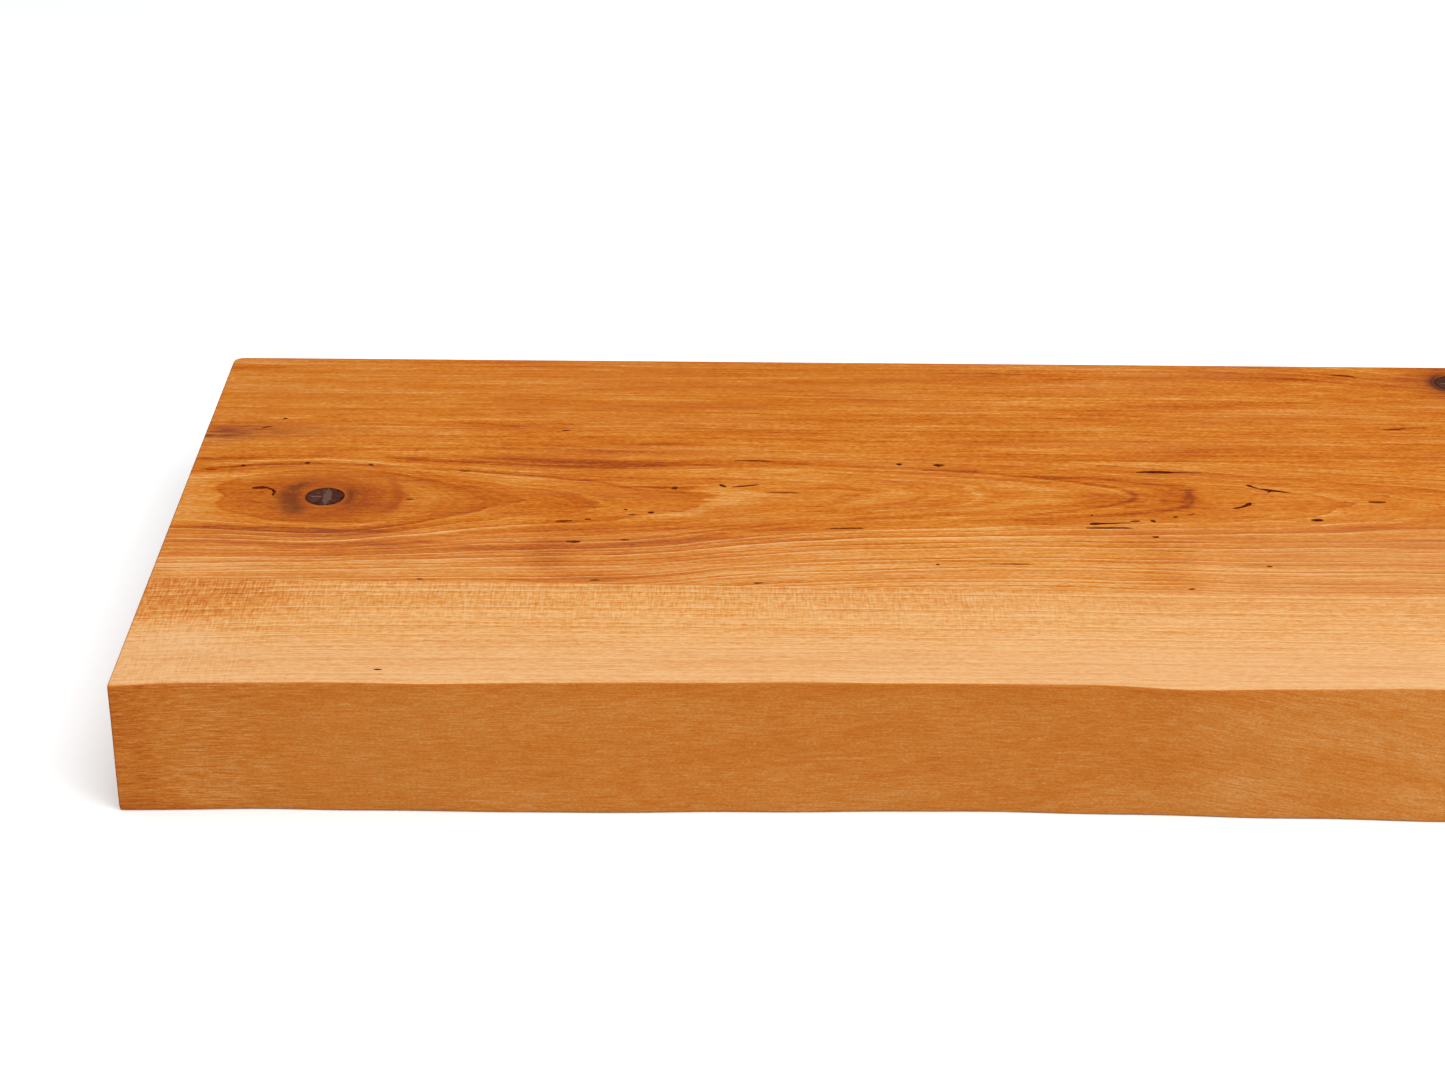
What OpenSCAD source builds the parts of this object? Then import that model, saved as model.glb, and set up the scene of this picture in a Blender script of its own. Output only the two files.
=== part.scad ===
// Live-edge butcher block table top: three wide boards glued edge to edge.
// X runs along the top, Y from the live front edge to the straight back edge,
// and Z up. The origin is in the middle of the underside. Millimetres.

/* [Top] */
// Length of the top along X
top_length = 914; // [800:1:1400]
// Depth of the top from its live front edge to its back edge
top_depth = 283; // [270:1:320]
// Thickness of the boards
top_thickness = 51; // [44:1:70]
// Radius of the eased arrises
arris_r = 1; // [0.5:0.25:2]
// Radius of the two back corners, seen from above
back_corner_r = 5; // [2:0.5:12]

/* [Boards] */
// Width of the front board at its left end
front_board_left_w = 81; // [76:1:86]
// Width of the front board at its right end
front_board_right_w = 70; // [66:1:86]
// Width of the back board
back_board_w = 97; // [90:1:104]
// How deeply the waves of the live edge cut into the front board
live_edge_wave = 1; // [0:0.1:1.5]
// How far the live edge leans back from its foot, in degrees
live_edge_lean = 5; // [0:0.5:8]

/* [Loose tenons] */
// Tenons in each of the two glued joints
tenons_per_joint = 4; // [2:1:4]
// Width of a tenon along the joint
tenon_w = 24; // [18:1:30]
// Thickness of a tenon
tenon_t = 10; // [8:1:14]
// Length of a tenon across the joint
tenon_l = 50; // [40:1:54]
// Spare depth at the bottom of each mortise
mortise_spare = 3; // [1:0.5:4]
// Distance from an end of the top to its nearest tenon
tenon_inset = 87; // [70:1:88]

/* [Knots] */
// Radius of the left knot in the top face
left_knot_r = 7.75; // [6:0.25:9]
// Radius of the back knot in the top face
back_knot_r = 8; // [6:0.25:9]
// Depth that the knots reach into the boards
knot_depth = 34; // [20:1:40]

/* [Leg plate inserts] */
// Distance from the middle of the top to the middle of each leg plate
leg_plate_x = 320; // [290:1:330]
// Distance between the inserts of a leg plate along X
insert_spacing_x = 50; // [40:1:60]
// Distance between the inserts of a leg plate along Y
insert_spacing_y = 200; // [190:1:206]
// Length of an insert
insert_l = 18; // [12:1:20]
// Radius of an insert's threaded bore, at the crests of an M8 thread
insert_bore_r = 3.4; // [3.3:0.05:3.5]
// Radius of an insert's collar and of its outer thread's crests
insert_crest_r = 7; // [6.5:0.25:8]

/* [Hidden] */
TENON_NUMBERS = [1:tenons_per_joint];
INSERT_NUMBERS = [1:4];
$fn = 48;

front_y = -top_depth / 2;
back_y = top_depth / 2;
back_joint_y = back_y - back_board_w;
mid_z = top_thickness / 2;

// Turning points of the live edge's foot: place along the top as a share of
// its length, and how far the foot stands back from its foremost point.
live_edge = [
    [-0.5, 0.9], [-0.44, 2.6], [-0.32, 1.6], [-0.16, 4.7], [0.016, 0],
    [0.13, 3.5], [0.25, 1], [0.36, 4], [0.5, 1.5]
];
live_edge_steps = 96;

// Middles of the two knots in the top face
left_knot_at = [-400, 7.5];
back_knot_at = [72, 124];
knot_taper = 0.55;
knot_fn = 72;

// Outer thread of an insert: number of turns and how far they stand out
insert_turns = 5;
insert_thread_depth = 1.1;
insert_collar_t = 1.5;

// Share of a smooth step that is done at t, from 0 to 1
function smooth_step(t) = (1 - cos(180 * t)) / 2;

// Index of the stretch between turning points that holds the place s
function live_edge_stretch(s, i = 0) =
    i == len(live_edge) - 2 || s <= live_edge[i + 1][0] ? i : live_edge_stretch(s, i + 1);

// Y of the live edge's foot at the place s, a share of the length
function live_edge_y(s) =
    let (
        i = live_edge_stretch(s),
        from = live_edge[i],
        to = live_edge[i + 1],
        t = (s - from[0]) / (to[0] - from[0]),
        back_by = from[1] + (to[1] - from[1]) * smooth_step(t)
    )
    front_y + live_edge_wave * back_by;

// Y of the slightly slanted joint between the front and middle boards
function front_joint_y(x) =
    front_y + front_board_left_w
    + (front_board_right_w - front_board_left_w) * (x / top_length + 0.5);

// X of a joint's tenon number i
function tenon_x(i) =
    -top_length / 2 + tenon_inset
    + (i - 1) * (top_length - 2 * tenon_inset) / (tenons_per_joint - 1);

// Place of an insert number i on the leg plate on one side, -1 or 1
function insert_xy(side, i) = [
    side * leg_plate_x + (i % 2 == 1 ? -1 : 1) * insert_spacing_x / 2,
    (i <= 2 ? -1 : 1) * insert_spacing_y / 2
];

// Rectangle that stands on the X axis, with arcs at its corners
module eased_rectangle(w, h, r) {
    translate([-w / 2 + r, 0]) square([w - 2 * r, h]);
    translate([-w / 2, r]) square([w, h - 2 * r]);
    for (side = [-1, 1], y = [r, h - r])
        translate([side * (w / 2 - r), y]) circle(r);
}

// Everything between the two eased ends of the top
module between_ends() {
    rotate([90, 0, 0])
        linear_extrude(2 * top_depth, center = true)
            eased_rectangle(top_length, top_thickness, arris_r);
}

// Everything in front of the eased back edge
module before_back_edge() {
    translate([0, back_y - top_depth, 0])
        rotate([90, 0, 90])
            linear_extrude(2 * top_length, center = true)
                eased_rectangle(2 * top_depth, top_thickness, arris_r);
}

// Bar with the round-edged section of a loose tenon, across a joint
module tenon_bar(l) {
    rotate([90, 0, 0])
        linear_extrude(l, center = true) {
            square([tenon_w - tenon_t, tenon_t], center = true);
            for (side = [-1, 1])
                translate([side * (tenon_w - tenon_t) / 2, 0]) circle(d = tenon_t);
        }
}

module at_front_joint(i) {
    translate([tenon_x(i), front_joint_y(tenon_x(i)), mid_z]) children();
}

module at_back_joint(i) {
    translate([tenon_x(i), back_joint_y, mid_z]) children();
}

module mortises() {
    for (i = TENON_NUMBERS) {
        at_front_joint(i) tenon_bar(tenon_l + 2 * mortise_spare);
        at_back_joint(i) tenon_bar(tenon_l + 2 * mortise_spare);
    }
}

// Dead knot that narrows on its way down from the top face
module knot(at, r) {
    translate([at[0], at[1], top_thickness - knot_depth])
        cylinder(h = knot_depth, r1 = r * knot_taper, r2 = r, $fn = knot_fn);
}

// Threaded insert: a flush collar below the turns of its outer thread, and a
// bore of the given radius. With no bore it is what its pocket is cut with.
module insert(bore_r = 0) {
    root_r = insert_crest_r - insert_thread_depth;
    pitch = (insert_l - insert_collar_t) / insert_turns;
    rotate_extrude()
        polygon(concat(
            [[bore_r, insert_l], [bore_r, 0]],
            [[insert_crest_r, 0], [insert_crest_r, insert_collar_t]],
            [for (i = [0:insert_turns - 1], part = [0, 0.5])
                [part == 0 ? root_r : insert_crest_r, insert_collar_t + (i + part) * pitch]],
            [[root_r, insert_l]]
        ));
}

module insert_pockets() {
    for (side = [-1, 1], i = INSERT_NUMBERS)
        translate(insert_xy(side, i)) insert();
}

// Everything behind the waves of the live edge, which leans back from its foot
module behind_live_edge() {
    translate([0, front_y, 0])
        rotate([-live_edge_lean, 0, 0])
            translate([0, -front_y, -top_thickness])
                linear_extrude(3 * top_thickness)
                    polygon(concat(
                        [for (i = [0:live_edge_steps])
                            let (s = i / live_edge_steps - 0.5)
                            [s * top_length, live_edge_y(s)]],
                        [for (side = [1, -1]) [side * top_length / 2, back_y]]
                    ));
}

// Everything in front of the joint between the front and middle boards
module before_front_joint() {
    linear_extrude(top_thickness)
        polygon([
            for (side = [-1, 1]) [side * top_length / 2, 2 * front_y],
            for (side = [1, -1])
                [side * top_length / 2, front_joint_y(side * top_length / 2)]
        ]);
}

// Pale sapwood board with the live edge
module front_board() {
    color("#eba867")
        difference() {
            intersection() {
                behind_live_edge();
                before_front_joint();
                between_ends();
            }
            mortises();
            insert_pockets();
        }
}

// Heartwood board with the arched grain, glued between the other two
module middle_board() {
    color("#d9853c")
        difference() {
            intersection() {
                linear_extrude(top_thickness)
                    polygon(concat(
                        [for (side = [-1, 1])
                            [side * top_length / 2, front_joint_y(side * top_length / 2)]],
                        [for (side = [1, -1]) [side * top_length / 2, back_joint_y]]
                    ));
                between_ends();
            }
            mortises();
            knot(left_knot_at, left_knot_r);
        }
}

// Straight-grained board with the sawn back edge
module back_board() {
    corner_y = back_y - back_corner_r;
    color("#d67f38")
        difference() {
            intersection() {
                linear_extrude(top_thickness) {
                    translate([-top_length / 2, back_joint_y])
                        square([top_length, corner_y - back_joint_y]);
                    translate([-top_length / 2 + back_corner_r, corner_y])
                        square([top_length - 2 * back_corner_r, back_corner_r]);
                    for (side = [-1, 1])
                        translate([side * (top_length / 2 - back_corner_r), corner_y])
                            circle(back_corner_r);
                }
                between_ends();
                before_back_edge();
            }
            mortises();
            insert_pockets();
            knot(back_knot_at, back_knot_r);
        }
}

module left_knot() {
    color("#5a3423") knot(left_knot_at, left_knot_r);
}

module back_knot() {
    color("#3d2420") knot(back_knot_at, back_knot_r);
}

module front_tenon(i) {
    color("#dcb88a") at_front_joint(i) tenon_bar(tenon_l);
}

module back_tenon(i) {
    color("#dcb88a") at_back_joint(i) tenon_bar(tenon_l);
}

module plate_insert(side, i) {
    color("#b8a06a") translate(insert_xy(side, i)) insert(insert_bore_r);
}

front_board();
middle_board();
back_board();
left_knot();
back_knot();
for (i = TENON_NUMBERS) {
    front_tenon(i);
    back_tenon(i);
}
for (i = INSERT_NUMBERS) {
    plate_insert(-1, i);
    plate_insert(1, i);
}
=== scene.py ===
"""Live-edge butcher block table top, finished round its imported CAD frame. Metres unless a name says mm."""

import math

import bmesh
import bpy
import numpy as np
from mathutils import Matrix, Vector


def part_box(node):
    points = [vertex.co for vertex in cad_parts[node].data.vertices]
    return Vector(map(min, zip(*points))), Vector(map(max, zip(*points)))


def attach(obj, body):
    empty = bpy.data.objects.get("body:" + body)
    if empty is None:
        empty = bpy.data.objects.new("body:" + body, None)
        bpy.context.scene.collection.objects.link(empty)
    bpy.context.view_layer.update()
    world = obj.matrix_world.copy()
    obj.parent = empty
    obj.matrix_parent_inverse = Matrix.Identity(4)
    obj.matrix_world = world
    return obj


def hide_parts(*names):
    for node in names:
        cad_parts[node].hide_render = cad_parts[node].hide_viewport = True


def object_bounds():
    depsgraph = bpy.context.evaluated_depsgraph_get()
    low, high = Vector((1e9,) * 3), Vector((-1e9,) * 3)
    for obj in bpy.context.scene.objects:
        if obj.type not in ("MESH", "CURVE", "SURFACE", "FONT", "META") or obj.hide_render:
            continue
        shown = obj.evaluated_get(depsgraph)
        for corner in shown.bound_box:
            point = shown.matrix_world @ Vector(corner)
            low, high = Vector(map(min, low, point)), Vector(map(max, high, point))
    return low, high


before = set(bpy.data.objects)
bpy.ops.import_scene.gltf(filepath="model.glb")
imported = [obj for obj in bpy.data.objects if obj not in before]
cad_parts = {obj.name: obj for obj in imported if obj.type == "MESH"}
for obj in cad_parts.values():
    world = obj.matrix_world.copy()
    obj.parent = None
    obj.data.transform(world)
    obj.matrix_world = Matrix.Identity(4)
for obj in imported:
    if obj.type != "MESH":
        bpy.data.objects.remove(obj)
cad_low, cad_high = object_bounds()

MM = 0.001
LEFT_X, FRONT_Y = cad_low.x, cad_low.y
RIGHT_X, BACK_Y, TOP_Z = cad_high
BODY = "root"

# ---------------------------------------------------------------- camera
# It stands in front of the left half, looks across the top and down, and rolls by a hair.
CAMERA_AT = (-0.243, -0.96855, 0.547)
CAMERA_PITCH = math.radians(27.81)
CAMERA_ROLL = math.radians(-0.483)
LENS_MM = 69.1


def make_camera():
    data = bpy.data.cameras.new("camera")
    data.lens = LENS_MM
    data.sensor_width = 36
    camera = bpy.data.objects.new("camera", data)
    camera.rotation_mode = "QUATERNION"
    tilt = Matrix.Rotation(math.pi / 2 - CAMERA_PITCH, 4, "X") @ Matrix.Rotation(-CAMERA_ROLL, 4, "Z")
    camera.matrix_world = Matrix.Translation(CAMERA_AT) @ tilt
    bpy.context.scene.collection.objects.link(camera)
    bpy.context.scene.camera = camera


def object_from(mesh, name):
    """Object in the scene that takes over a finished bmesh."""
    data = bpy.data.meshes.new(name)
    mesh.to_mesh(data)
    mesh.free()
    made = bpy.data.objects.new(name, data)
    bpy.context.scene.collection.objects.link(made)
    return made


# ---------------------------------------------------------------- shader fields
class Field:
    """A number at every point of a material, held as the output of a shader node."""

    def __init__(self, tree, socket):
        self.tree = tree
        self.socket = socket

    def math(self, operation, *others):
        node = self.tree.nodes.new("ShaderNodeMath")
        node.operation = operation
        for slot, value in zip(node.inputs, (self, *others)):
            plug(self.tree, value, slot)
        return Field(self.tree, node.outputs[0])

    def __add__(self, other):
        return self.math("ADD", other)

    def __sub__(self, other):
        return self.math("SUBTRACT", other)

    def __mul__(self, other):
        return self.math("MULTIPLY", other)

    def __truediv__(self, other):
        return self.math("DIVIDE", other)

    def __pow__(self, other):
        return self.math("POWER", other)

    def __neg__(self):
        return self * -1

    def __rsub__(self, other):
        return -self + other

    __radd__ = __add__
    __rmul__ = __mul__

    def above(self, least):
        return self.math("MAXIMUM", least)

    def below(self, most):
        return self.math("MINIMUM", most)

    def size(self):
        return self.math("ABSOLUTE")

    def root(self):
        return self.above(0).math("SQRT")

    def bell(self, width=1):
        """1 where the field is 0, falling off smoothly over the width to either side."""
        return (-((self / width) ** 2)).math("EXPONENT")

    def rise(self, low, high):
        """0 below low, 1 above high and a smooth step between, or the other way round when low > high."""
        node = self.tree.nodes.new("ShaderNodeMapRange")
        node.interpolation_type = "SMOOTHSTEP"
        flip = low > high
        node.inputs["From Min"].default_value = min(low, high)
        node.inputs["From Max"].default_value = max(low, high)
        node.inputs["To Min"].default_value = 1 if flip else 0
        node.inputs["To Max"].default_value = 0 if flip else 1
        plug(self.tree, self, node.inputs["Value"])
        return Field(self.tree, node.outputs["Result"])


def plug(tree, value, slot):
    """Feeds a Field or a plain number to a node's input."""
    if isinstance(value, Field):
        tree.links.new(value.socket, slot)
    else:
        slot.default_value = value


def linear(red, green, blue):
    """Linear colour of the 8-bit sRGB one."""
    parts = [c / 255 for c in (red, green, blue)]
    return [c / 12.92 if c <= 0.04045 else ((c + 0.055) / 1.055) ** 2.4 for c in parts]


class Surface:
    """A material in the making, with x, y and z in millimetres in the frame of the table top."""

    def __init__(self, name):
        self.material = bpy.data.materials.new(name)
        self.material.use_nodes = True
        self.tree = self.material.node_tree
        self.shader = self.tree.nodes["Principled BSDF"]
        coordinates = self.tree.nodes.new("ShaderNodeTexCoord").outputs["Object"]
        self.x, self.y, self.z = self.split(coordinates, 1 / MM)
        self.depth = TOP_Z / MM - self.z

    def split(self, vector, scale=1.0):
        scaled = self.tree.nodes.new("ShaderNodeVectorMath")
        scaled.operation = "SCALE"
        scaled.inputs["Scale"].default_value = scale
        self.tree.links.new(vector, scaled.inputs[0])
        parts = self.tree.nodes.new("ShaderNodeSeparateXYZ")
        self.tree.links.new(scaled.outputs[0], parts.inputs[0])
        return [Field(self.tree, output) for output in parts.outputs]

    def skin(self, deep=6):
        """1 on the top face, falling to 0 within some millimetres below it."""
        return self.depth.rise(deep, 1)

    def along(self, points):
        """Smooth function of x through (x, value) points in mm, level beyond them."""
        first, last = points[0][0], points[-1][0]
        values = [value for _, value in points]
        least, span = min(values), max(values) - min(values) + 0.001
        node = self.tree.nodes.new("ShaderNodeFloatCurve")
        knots = node.mapping.curves[0].points
        for _ in points[2:]:
            knots.new(0.5, 0.5)
        for knot, (place, value) in zip(knots, points):
            knot.location = ((place - first) / (last - first), (value - least) / span)
            knot.handle_type = "AUTO_CLAMPED"
        node.mapping.extend = "HORIZONTAL"
        node.mapping.update()
        plug(self.tree, (self.x - first) / (last - first), node.inputs["Value"])
        return Field(self.tree, node.outputs["Value"]) * span + least

    def streak(self, waver, width, points, fade):
        """1 on a line through (x, y) points, falling off across it and towards both its ends."""
        first, last = points[0][0], points[-1][0]
        ends = self.x.rise(first, first + fade) * self.x.rise(last, last - fade)
        return ((self.y + waver - self.along(points)) / width).bell() * ends

    def streaks(self, waver, rows):
        """All the streaks of a table together."""
        total = 0
        for width, fade, strength, points in rows:
            total = self.streak(waver, width, points, fade) * strength + total
        return total

    def arch(self, tip, width, spread, power=2):
        """1 on a ring that comes to a blunt point at the place (x, y) and opens towards the left."""
        off = (self.y - tip[1]).size()
        ahead = self.x - tip[0] + off**power * spread
        steep = ((off ** (power - 1) * (spread * power)) ** 2 + 1).root()
        return (ahead / (steep * width)).bell()

    def spot(self, at, reach):
        """1 at the place (x, y), falling off over the reach along x and along y."""
        return (-(((self.x - at[0]) / reach[0]) ** 2) - ((self.y - at[1]) / reach[1]) ** 2).math("EXPONENT")

    def spots(self, rows):
        """All the spots of a table together."""
        total = 0
        for at, reach, strength in rows:
            total = self.spot(at, reach) * strength + total
        return total

    def normal(self):
        """How much the surface faces along x, y and z, as three unsigned numbers."""
        geometry = self.tree.nodes.new("ShaderNodeNewGeometry")
        return [part.size() for part in self.split(geometry.outputs["True Normal"])]

    def noise(self, sizes, seed=0, detail=2.0, rough=0.5, at=None):
        """Noise round 0, about -0.3 to 0.3, with grains of the given sizes in mm along three fields."""
        join = self.tree.nodes.new("ShaderNodeCombineXYZ")
        for slot, field, size in zip(join.inputs, at or (self.x, self.y, self.z), sizes):
            plug(self.tree, field / size + seed, slot)
        node = self.tree.nodes.new("ShaderNodeTexNoise")
        node.inputs["Scale"].default_value = 1
        node.inputs["Detail"].default_value = detail
        node.inputs["Roughness"].default_value = rough
        self.tree.links.new(join.outputs[0], node.inputs["Vector"])
        return Field(self.tree, node.outputs["Fac"]) - 0.5

    def layers(self, field, size, seed=0, detail=2.0, rough=0.5):
        """Noise round 0 that changes only with one field, as growth rings do."""
        node = self.tree.nodes.new("ShaderNodeTexNoise")
        node.noise_dimensions = "1D"
        node.inputs["Scale"].default_value = 1
        node.inputs["Detail"].default_value = detail
        node.inputs["Roughness"].default_value = rough
        plug(self.tree, field / size + seed, node.inputs["W"])
        return Field(self.tree, node.outputs["Fac"]) - 0.5

    def growth(self, field, spacing, seed=0):
        """Growth rings, round 0: each starts as a thin pale line and darkens slowly up to a crisp edge."""
        uneven = self.layers(field, spacing * 3, seed) * 2.4
        share = (field / spacing + uneven).math("FRACT")
        strength = self.layers(field, spacing * 1.7, seed + 5.5) * 2.4 + 0.8
        return (share**3 - (share / 0.15).bell() * 0.9 - 0.13) * strength

    def colour(self, field, stops):
        """Runs the field from 0 to 1 through sRGB colours as (place, (red, green, blue)) stops."""
        node = self.tree.nodes.new("ShaderNodeValToRGB")
        ramp = node.color_ramp
        while len(ramp.elements) < len(stops):
            ramp.elements.new(0.5)
        for element, (place, rgb) in zip(ramp.elements, stops):
            element.position = place
            element.color = (*[ALBEDO * c for c in linear(*rgb)], 1)
        plug(self.tree, field, node.inputs["Fac"])
        return node.outputs["Color"]

    def mix(self, share, colour, other):
        """Blends a colour output towards another one, or towards an sRGB colour, by a Field."""
        node = self.tree.nodes.new("ShaderNodeMix")
        node.data_type = "RGBA"
        plug(self.tree, share, node.inputs["Factor"])
        self.tree.links.new(colour, node.inputs[6])
        if isinstance(other, tuple):
            node.inputs[7].default_value = (*[ALBEDO * c for c in linear(*other)], 1)
        else:
            self.tree.links.new(other, node.inputs[7])
        return node.outputs[2]

    def finish(self, colour, roughness, height=None, depth_mm=0.1, specular=0.3):
        self.tree.links.new(colour, self.shader.inputs["Base Color"])
        plug(self.tree, roughness, self.shader.inputs["Roughness"])
        self.shader.inputs["Specular IOR Level"].default_value = specular
        if height is not None:
            bump = self.tree.nodes.new("ShaderNodeBump")
            bump.inputs["Strength"].default_value = 1.0
            bump.inputs["Distance"].default_value = depth_mm * MM
            plug(self.tree, height, bump.inputs["Height"])
            self.tree.links.new(bump.outputs["Normal"], self.shader.inputs["Normal"])
        return self.material


# Share of the light that a surface seen as sRGB white in this studio would send back
ALBEDO = 0.6

# Oiled cherry from gum-black through heartwood to the palest sapwood
CHERRY = [
    (0.0, (60, 22, 12)),
    (0.1, (96, 40, 16)),
    (0.2, (144, 60, 8)),
    (0.3, (171, 75, 5)),
    (0.4, (191, 94, 9)),
    (0.5, (205, 110, 18)),
    (0.6, (214, 126, 33)),
    (0.7, (222, 143, 57)),
    (0.8, (230, 163, 88)),
    (0.9, (238, 178, 111)),
    (1.0, (245, 191, 130)),
]


def fibres(wood, seed, grain, fine, streaks, clouds):
    """Grain, thin fibres, wider streaks and soft clouds that run along the boards, each by the given amount.

    The second result is only the part of it that can be felt.
    """
    relief = wood.noise((2.2, 0.5, 0.5), seed=seed + 5.7, detail=1) * grain
    relief = relief + wood.noise((15, 0.7, 0.7), seed=seed) * fine
    tone = relief + wood.noise((45, 2, 2), seed=seed + 3.3) * streaks
    return tone + wood.noise((80, 9, 9), seed=seed + 7.1) * clouds, relief


def blush(wood, colour, seed, share=0.5):
    """Rosier clouds in the wood, by up to about the share."""
    rosy = wood.noise((70, 12, 12), seed=seed).rise(-0.08, 0.2)
    return wood.mix(rosy * share, colour, (204, 118, 62))


def sawn_faces(wood):
    """How far a point lies on a sawn end, and on any face that isn't level."""
    across, _, up = wood.normal()
    return across.rise(0.2, 0.7), up.rise(0.9, 0.5)


def oiled(wood, colour, relief):
    """The satin oiled surface, with its grain just felt."""
    return wood.finish(colour, relief * 0.3 + 0.68, relief, depth_mm=0.05, specular=0.06)


# ---------------------------------------------------------------- the three woods
# Middles of the two knots in the top face, in mm
LEFT_KNOT = (-400.4, 7.7)
BACK_KNOT = (72, 124)


def teardrop(wood):
    """Distance out of the stained teardrop round the left knot: 0 on its spine and 1 on its rim."""
    x = wood.x + 405
    spine = 8.2 - x * 0.026
    aside = (wood.y - spine).size() / 22.6
    left, right = (-x / 40).above(0), (x / 85).above(0).below(1.5)
    notch = wood.spot((-444, 6.5), (6, 3.5)) * 0.2
    uneven = wood.noise((16, 9, 9), seed=4.2, detail=1) * 0.14
    return (left * left + aside * aside * (1 - right * 0.35)).root() + right**1.8 + notch + uneven


def knot_surround(wood):
    """Dark bark beside the left knot, its paler collar, and the reddened and whorled wood further out."""
    x, y = wood.x - LEFT_KNOT[0], wood.y - LEFT_KNOT[1]
    out = (x * x + y * y).root() + wood.noise((6, 6, 6), seed=8.1) * 6 * (x * x + y * y).rise(60, 240)
    facing = x / (out + 0.5)
    patchy = wood.noise((3.5, 6, 6), seed=1.8) * 2.6 + 1
    bark = ((out - 14) / 4).bell() * facing.rise(-0.1, -0.95)
    bark = bark + ((out - 10.8) / 2).bell() * facing.rise(0.55, 0.98) * 0.7
    bark = bark * patchy.above(0.25).below(1.15)
    bark = bark + (((x + 11) / 4) ** 2 + ((y + 13) / 3.5) ** 2).root().bell() * 0.5
    collar = ((out - 8.6) / 0.7).bell()
    arc = ((out - 29) / 2.4).bell() * facing.rise(0.75, 0.97)
    red = (out / 21).bell() + arc * 0.8
    whorls = wood.layers(out, 0.9, seed=7.9, detail=3, rough=0.7) * (out / 20).bell() * 0.5
    return bark, collar, red, whorls


# Line of the pith under the arched board, as (x, y) points in mm
PITH_LINE = [(-457, 5), (-346, 5), (-300, 4), (-240, 10), (-200, 13), (-140, 14),
             (-90, 11), (22, 5), (457, -8)]
# Its depth below the top face at the left end, and how much deeper it gets for each mm to the right
PITH_DEPTH = 103
PITH_SLOPE = 0.0233

# Pale edges of rings in the arched board, as rows of width, fade, strength and (x, y) points in mm
ARCHED_PALE = [
    (0.8, 8, 1, [(-457, -26.5), (-398, -37.5), (-370, -33), (-300, -30), (-210, -19), (-140, -15.5),
                 (-50, -14.5), (-8, -9.5), (22, -6.5), (90, 0)]),
    (0.8, 8, 1, [(-457, -43), (-400, -45), (-300, -39), (-250, -33.5), (-200, -26.5), (-140, -23.5),
                 (-20, -24), (60, -20), (200, -26)]),
    (0.7, 8, 1, [(-457, -52), (-380, -54), (-300, -52), (-260, -48.5), (-140, -46), (-50, -47), (22, -46),
                 (200, -48)]),
    (1, 8, 1, [(-457, 33), (-440, 36), (-411, 40.5), (-385, 39), (-350, 35), (-310, 30)]),
]

# Its dark rings and stains, likewise
ARCHED_DARK = [
    (1.1, 8, 1.3, [(-457, 29.5), (-443, 32.8), (-411, 37), (-385, 35.8), (-346, 31.5), (-300, 24),
                   (-262, 17.5), (-250, 17.8)]),
    (1.8, 14, 1.3, [(-385, 44), (-371, 42.5), (-344, 39), (-300, 36), (-280, 36.3), (-262, 38)]),
    (2.6, 8, 1.1, [(-465, 37.5), (-444, 41), (-425, 43.5), (-400, 45)]),
    (2.2, 14, 0.7, [(-352, 46), (-337, 44.2), (-317, 42), (-275, 40.5), (-250, 41)]),
    (1.1, 8, 0.45, [(-275, 37), (-220, 39), (-180, 37.5), (-140, 33.8), (-135, 33.2)]),
    (1.3, 4, 1, [(-165, 36), (-140, 33.9), (-120, 30), (-96, 29.4), (-70, 23.8), (-58, 22.5), (-55, 21)]),
    (1, 8, 0.5, [(-300, -22), (-250, -16), (-210, -10), (-172, -5.5), (-140, -3), (-120, -2), (-112, -1)]),
    (1.5, 20, 1.3, [(-457, -18.5), (-424, -18.8), (-401, -20), (-385, -21.8), (-360, -21)]),
    (3.2, 26, 0.5, [(-457, -22), (-424, -22), (-395, -24), (-375, -24), (-355, -23)]),
    (3.4, 26, 1.1, [(-470, -30), (-425, -31.5), (-398, -34.5), (-377, -33), (-340, -28)]),
    (2.6, 20, 0.6, [(-350, -32), (-326, -36), (-300, -35), (-270, -29), (-235, -21)]),
    (0.8, 12, 0.6, [(-330, -59), (-300, -60.8), (-265, -54.5), (-240, -51.5), (-215, -50)]),
    (1.2, 20, 0.3, [(-110, 35), (-76, 35.2), (-50, 35), (-10, 31), (20, 28)]),
]

# Its dark spots, as rows of place, reach and strength
ARCHED_DARK_SPOTS = [
    ((-68, 15), (9, 12), 0.22),
    ((-292, -56.5), (13, 4), 0.7),
    ((-309, -39), (9, 18), 0.8),
    ((-268, -37), (38, 13), 0.45),
    ((-276, -8), (30, 9), 0.4),
    ((-258, 15), (30, 7), 0.35),
]

# Painted shade and sheen where its fibres lean: spots that make the polish look darker, or paler below 0
ARCHED_PAINTED_SHADE_AND_SHEEN = [
    ((-75, -52), (11, 20), 0.6),
    ((-57, -50), (8, 18), -0.6),
    ((-300, 18), (22, 22), 1.4),
    ((-262, 8), (20, 13), 1.4),
    ((-300, -14), (24, 12), 1.1),
    ((-342, -19), (22, 5), 1.1),
    ((-72, 13), (22, 14), 1.1),
    ((-388, -28), (26, 12), 0.7),
    ((-436, -46), (22, 14), -0.8),
    ((-140, -17), (55, 7), -0.7),
    ((-340, -6), (24, 5), -0.6),
    ((-388, 6), (12, 16), 0.9),
    ((-388, 26), (22, 6), -0.8),
    ((-70, -48), (30, 14), 0.8),
    ((-118, -11), (20, 5), 0.8),
]


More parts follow.
